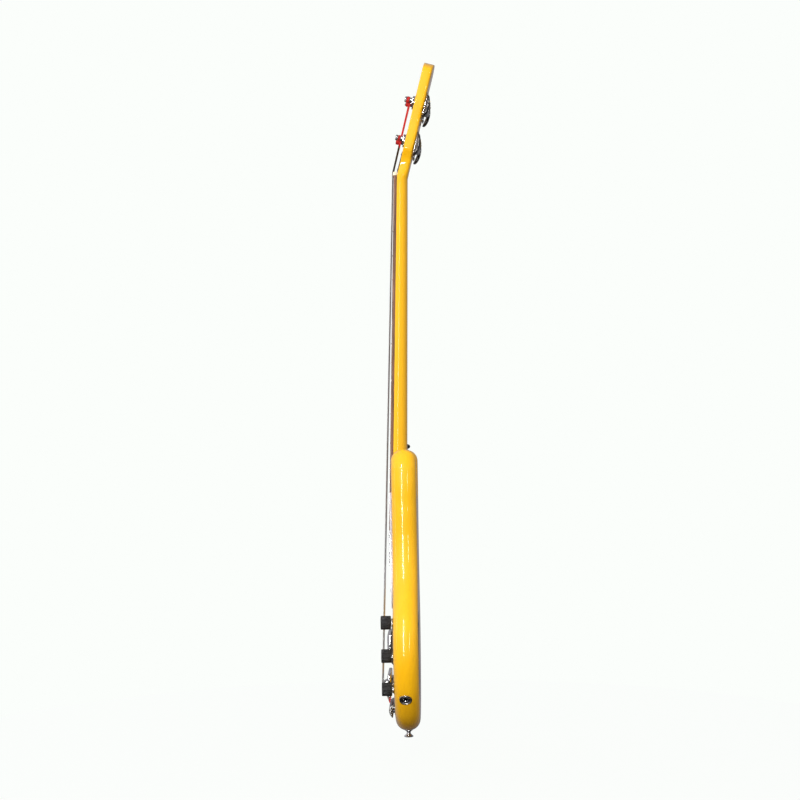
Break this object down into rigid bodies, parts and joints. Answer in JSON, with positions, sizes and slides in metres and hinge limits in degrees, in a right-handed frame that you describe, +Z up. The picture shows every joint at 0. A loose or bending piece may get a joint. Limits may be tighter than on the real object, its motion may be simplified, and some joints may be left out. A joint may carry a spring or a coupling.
{
  "type": "electric bass guitar",
  "caption": "Double-cutaway electric bass guitar with a pitched headstock, geared tuners, two covered pickups, three knobs, bridge and tailpiece.",
  "frame": {"origin": "centre line of the instrument at the nut, on the fretboard's surface, where a hanger holds the neck", "axes": "+Z up the neck to the headstock, -Y out of the front, +X towards the thin strings"},
  "size_m": [0.34, 0.1065, 1.1527],
  "materials": {
    "lacquer": "gloss yellow lacquer over hardwood",
    "rosewood": "oiled dark hardwood",
    "bone": "cream synthetic bone",
    "chrome": "polished chrome plate",
    "dark_chrome": "smoked chrome plate",
    "steel": "plain and wound steel",
    "black_plastic": "black moulded plastic",
    "white_plastic": "white layered plastic sheet",
    "silk": "red silk winding"
  },
  "bodies": {
    "instrument": {"body": "lacquer", "neck": "lacquer", "fretboard": "rosewood", "nut": "bone", "truss_rod": "steel", "truss_rod_nut": "steel", "bridge_post_bass": "steel", "bridge_post_treble": "steel", "tailpiece_stud_bass": "steel", "tailpiece_stud_treble": "steel", "neck_volume_pot": "steel", "bridge_volume_pot": "steel", "tone_pot": "steel", "string_e": "steel", "string_a": "steel", "string_d": "steel", "string_g": "steel", "truss_rod_cover": "black_plastic", "bridge_pickup_ring": "black_plastic", "control_cover": "black_plastic", "pickguard": "white_plastic", "neck_pickup_cover": "chrome", "bridge_pickup_cover": "chrome", "bridge_bar": "chrome", "jack_ring": "chrome", "end_strap_button": "chrome", "horn_strap_button": "chrome", "tuner_bushing_e": "chrome", "tuner_bushing_a": "chrome", "tuner_bushing_d": "chrome", "tuner_bushing_g": "chrome", "tuner_plate_e": "chrome", "tuner_plate_a": "chrome", "tuner_plate_d": "chrome", "tuner_plate_g": "chrome", "tailpiece": "dark_chrome", "jack_socket": "dark_chrome"},
    "key_e": {"tuner_key_e": "chrome"},
    "post_e": {"tuner_post_e": "chrome", "tuner_cog_e": "steel"},
    "key_a": {"tuner_key_a": "chrome"},
    "post_a": {"tuner_post_a": "chrome", "tuner_cog_a": "steel"},
    "key_d": {"tuner_key_d": "chrome"},
    "post_d": {"tuner_post_d": "chrome", "tuner_cog_d": "steel"},
    "key_g": {"tuner_key_g": "chrome"},
    "post_g": {"tuner_post_g": "chrome", "tuner_cog_g": "steel"},
    "neck_volume_control": {"neck_volume_knob": "black_plastic", "neck_volume_shaft": "steel"},
    "bridge_volume_control": {"bridge_volume_knob": "black_plastic", "bridge_volume_shaft": "steel"},
    "tone_control": {"tone_knob": "black_plastic", "tone_shaft": "steel"},
    "saddle_block_e": {"saddle_e": "chrome"},
    "saddle_block_a": {"saddle_a": "chrome"},
    "saddle_block_d": {"saddle_d": "chrome"},
    "saddle_block_g": {"saddle_g": "chrome"}
  },
  "joints": [
    {"name": "key_turn_e", "type": "hinge", "parent": "instrument", "child": "key_e", "pos_m": [-0.0235, 0.04172, 0.04545], "axis": [-1, 0, 0], "continuous": true},
    {"name": "post_turn_e", "type": "hinge", "parent": "instrument", "child": "post_e", "pos_m": [-0.0235, 0.02132, 0.06003], "axis": [0, -0.9681, 0.2504], "continuous": true},
    {"name": "key_turn_a", "type": "hinge", "parent": "instrument", "child": "key_a", "pos_m": [-0.0235, 0.0585, 0.11032], "axis": [-1, 0, 0], "continuous": true},
    {"name": "post_turn_a", "type": "hinge", "parent": "instrument", "child": "post_a", "pos_m": [-0.0235, 0.0381, 0.12489], "axis": [0, -0.9681, 0.2504], "continuous": true},
    {"name": "key_turn_d", "type": "hinge", "parent": "instrument", "child": "key_d", "pos_m": [0.0235, 0.0585, 0.11032], "axis": [1, 0, 0], "continuous": true},
    {"name": "post_turn_d", "type": "hinge", "parent": "instrument", "child": "post_d", "pos_m": [0.0235, 0.0381, 0.12489], "axis": [0, -0.9681, 0.2504], "continuous": true},
    {"name": "key_turn_g", "type": "hinge", "parent": "instrument", "child": "key_g", "pos_m": [0.0235, 0.04172, 0.04545], "axis": [1, 0, 0], "continuous": true},
    {"name": "post_turn_g", "type": "hinge", "parent": "instrument", "child": "post_g", "pos_m": [0.0235, 0.02132, 0.06003], "axis": [0, -0.9681, 0.2504], "continuous": true},
    {"name": "neck_volume_turn", "type": "hinge", "parent": "instrument", "child": "neck_volume_control", "pos_m": [0.118, -0.01045, -0.751], "axis": [0, -1, 0], "range_deg": [0, 300]},
    {"name": "bridge_volume_turn", "type": "hinge", "parent": "instrument", "child": "bridge_volume_control", "pos_m": [0.111, -0.01045, -0.807], "axis": [0, -1, 0], "range_deg": [0, 300]},
    {"name": "tone_turn", "type": "hinge", "parent": "instrument", "child": "tone_control", "pos_m": [0.104, -0.01045, -0.863], "axis": [0, -1, 0], "range_deg": [0, 300]},
    {"name": "saddle_slide_e", "type": "slide", "parent": "instrument", "child": "saddle_block_e", "axis": [0, 0, 1], "range_m": [0, 0.005]},
    {"name": "saddle_slide_a", "type": "slide", "parent": "instrument", "child": "saddle_block_a", "axis": [0, 0, 1], "range_m": [0, 0.005]},
    {"name": "saddle_slide_d", "type": "slide", "parent": "instrument", "child": "saddle_block_d", "axis": [0, 0, 1], "range_m": [0, 0.005]},
    {"name": "saddle_slide_g", "type": "slide", "parent": "instrument", "child": "saddle_block_g", "axis": [0, 0, 1], "range_m": [0, 0.005]}
  ],
  "couplings": [
    {"joint": "post_turn_e", "follows": "key_turn_e", "ratio": -0.05},
    {"joint": "post_turn_a", "follows": "key_turn_a", "ratio": -0.05},
    {"joint": "post_turn_d", "follows": "key_turn_d", "ratio": 0.05},
    {"joint": "post_turn_g", "follows": "key_turn_g", "ratio": 0.05}
  ]
}
